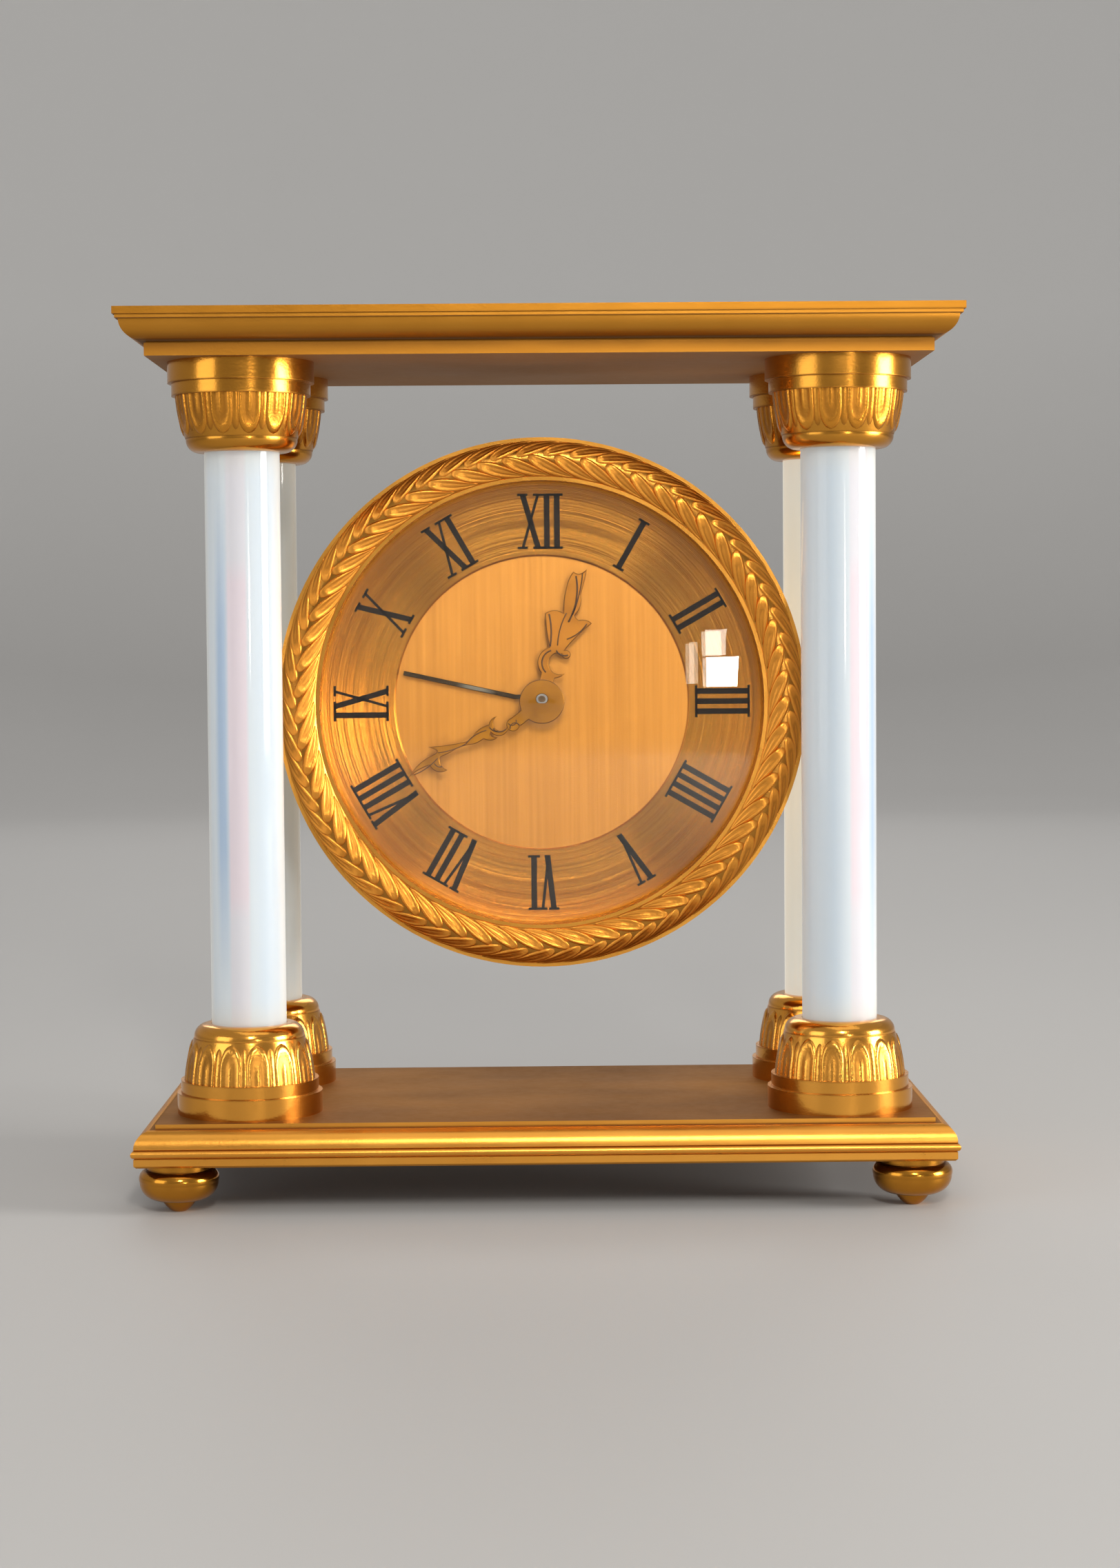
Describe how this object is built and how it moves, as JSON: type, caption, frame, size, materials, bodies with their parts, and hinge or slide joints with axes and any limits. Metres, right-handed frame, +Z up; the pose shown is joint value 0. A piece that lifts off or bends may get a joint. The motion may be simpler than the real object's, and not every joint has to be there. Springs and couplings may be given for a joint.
{
  "type": "portico table clock",
  "caption": "Table clock shaped like a small temple: moulded brass plinth and cornice on opaline glass columns, with a round drum clock held between them.",
  "frame": {"origin": "on the table under the middle of the clock, level with the tips of the feet", "axes": "+Z up, +X to the right as the dial is read, +Y to the back, so the dial faces -Y"},
  "size_m": [0.2188, 0.1118, 0.2357],
  "materials": {
    "gilt_brass": "gilt, satin on flats and bright on mouldings",
    "case_brass": "satin lacquered brass",
    "opaline_glass": "polished milky opaline glass",
    "clear_glass": "clear domed glass",
    "dial_brass": "straight brushed brass",
    "chapter_brass": "circular brushed brass with black numerals",
    "hand_brass": "pierced and polished brass",
    "blued_steel": "dark blued steel",
    "movement_brass": "lacquered machined brass",
    "steel": "turned steel"
  },
  "bodies": {
    "frame": {"back_cover": "case_brass", "back_cover_screws": "steel", "back_plate": "movement_brass", "base_cup_front_left": "gilt_brass", "base_cup_front_right": "gilt_brass", "base_cup_rear_left": "gilt_brass", "base_cup_rear_right": "gilt_brass", "bezel": "gilt_brass", "bracket_left": "case_brass", "bracket_right": "case_brass", "bracket_screws": "steel", "capital_front_left": "gilt_brass", "capital_front_right": "gilt_brass", "capital_rear_left": "gilt_brass", "capital_rear_right": "gilt_brass", "chapter_ring": "chapter_brass", "clamp_cap_left": "case_brass", "clamp_cap_right": "case_brass", "column_front_left": "opaline_glass", "column_front_right": "opaline_glass", "column_rear_left": "opaline_glass", "column_rear_right": "opaline_glass", "cornice": "gilt_brass", "crystal": "clear_glass", "dial_plate": "dial_brass", "drum_case": "case_brass", "escapement_platform": "movement_brass", "foot_front_left": "gilt_brass", "foot_front_right": "gilt_brass", "foot_rear_left": "gilt_brass", "foot_rear_right": "gilt_brass", "front_plate": "movement_brass", "movement_screws": "steel", "pillars": "movement_brass", "plinth": "gilt_brass", "spacer_ring": "case_brass", "tie_rod_nuts": "steel", "tie_rods": "steel", "top_plate": "gilt_brass"},
    "minute": {"minute_hand": "hand_brass", "centre_arbor": "steel", "cannon_pinion": "steel", "hand_set_knob": "movement_brass"},
    "hour": {"hour_hand": "hand_brass", "hour_wheel": "movement_brass"},
    "minute_wheel": {"minute_wheel": "movement_brass"},
    "going_barrel": {"going_barrel": "movement_brass"},
    "third": {"third_wheel": "movement_brass"},
    "winder": {"winding_arbor": "steel", "winding_key": "movement_brass"},
    "balance": {"balance_wheel": "movement_brass"},
    "alarm_hand": {"alarm_hand": "blued_steel", "alarm_wheel": "movement_brass"},
    "alarm_setter": {"alarm_set_arbor": "steel", "alarm_set_knob": "movement_brass"},
    "alarm_winder": {"alarm_winding_arbor": "steel", "alarm_winding_key": "movement_brass"},
    "alarm_barrel": {"alarm_barrel": "movement_brass"},
    "hammer": {"alarm_hammer": "steel"},
    "stop_button": {"alarm_stop_button": "movement_brass"}
  },
  "joints": [
    {"name": "minute_spin", "type": "hinge", "parent": "frame", "child": "minute", "pos_m": [0, 0, 0.1324], "axis": [0, 1, 0], "continuous": true},
    {"name": "hour_spin", "type": "hinge", "parent": "frame", "child": "hour", "pos_m": [0, 0, 0.1324], "axis": [0, 1, 0], "continuous": true},
    {"name": "minute_wheel_spin", "type": "hinge", "parent": "frame", "child": "minute_wheel", "pos_m": [-0.00843, 0, 0.13947], "axis": [0, 1, 0], "continuous": true},
    {"name": "barrel_spin", "type": "hinge", "parent": "frame", "child": "going_barrel", "pos_m": [-0.01285, 0, 0.15075], "axis": [0, 1, 0], "continuous": true},
    {"name": "third_spin", "type": "hinge", "parent": "frame", "child": "third", "pos_m": [-0.00493, 0, 0.11887], "axis": [0, 1, 0], "continuous": true},
    {"name": "winding_spin", "type": "hinge", "parent": "frame", "child": "winder", "pos_m": [-0.01285, 0, 0.15075], "axis": [0, 1, 0], "continuous": true},
    {"name": "balance_swing", "type": "hinge", "parent": "frame", "child": "balance", "pos_m": [-0.01149, 0, 0.10083], "axis": [0, 1, 0], "range_deg": [-135, 135], "stiffness_Nm_per_rad": 0.000006},
    {"name": "alarm_hand_spin", "type": "hinge", "parent": "frame", "child": "alarm_hand", "pos_m": [0, 0, 0.1324], "axis": [0, 1, 0], "continuous": true},
    {"name": "alarm_set_spin", "type": "hinge", "parent": "frame", "child": "alarm_setter", "pos_m": [0.01527, 0, 0.12684], "axis": [0, 1, 0], "continuous": true},
    {"name": "alarm_winding_spin", "type": "hinge", "parent": "frame", "child": "alarm_winder", "pos_m": [0.024, 0, 0.1524], "axis": [0, 1, 0], "continuous": true},
    {"name": "alarm_barrel_spin", "type": "hinge", "parent": "frame", "child": "alarm_barrel", "pos_m": [0.024, 0, 0.1524], "axis": [0, 1, 0], "continuous": true},
    {"name": "hammer_swing", "type": "hinge", "parent": "frame", "child": "hammer", "pos_m": [0.03795, 0, 0.10841], "axis": [0, 1, 0], "range_deg": [0, 10], "stiffness_Nm_per_rad": 0.01, "springref_deg": -11.46},
    {"name": "stop_press", "type": "slide", "parent": "frame", "child": "stop_button", "axis": [0, -1, 0], "range_m": [0, 0.0025]}
  ],
  "couplings": [
    {"joint": "hour_spin", "follows": "minute_spin", "ratio": 0.083333},
    {"joint": "minute_wheel_spin", "follows": "minute_spin", "ratio": -0.33333},
    {"joint": "barrel_spin", "follows": "minute_spin", "ratio": -0.16667},
    {"joint": "third_spin", "follows": "minute_spin", "ratio": -5},
    {"joint": "alarm_hand_spin", "follows": "alarm_set_spin", "ratio": -0.25}
  ]
}
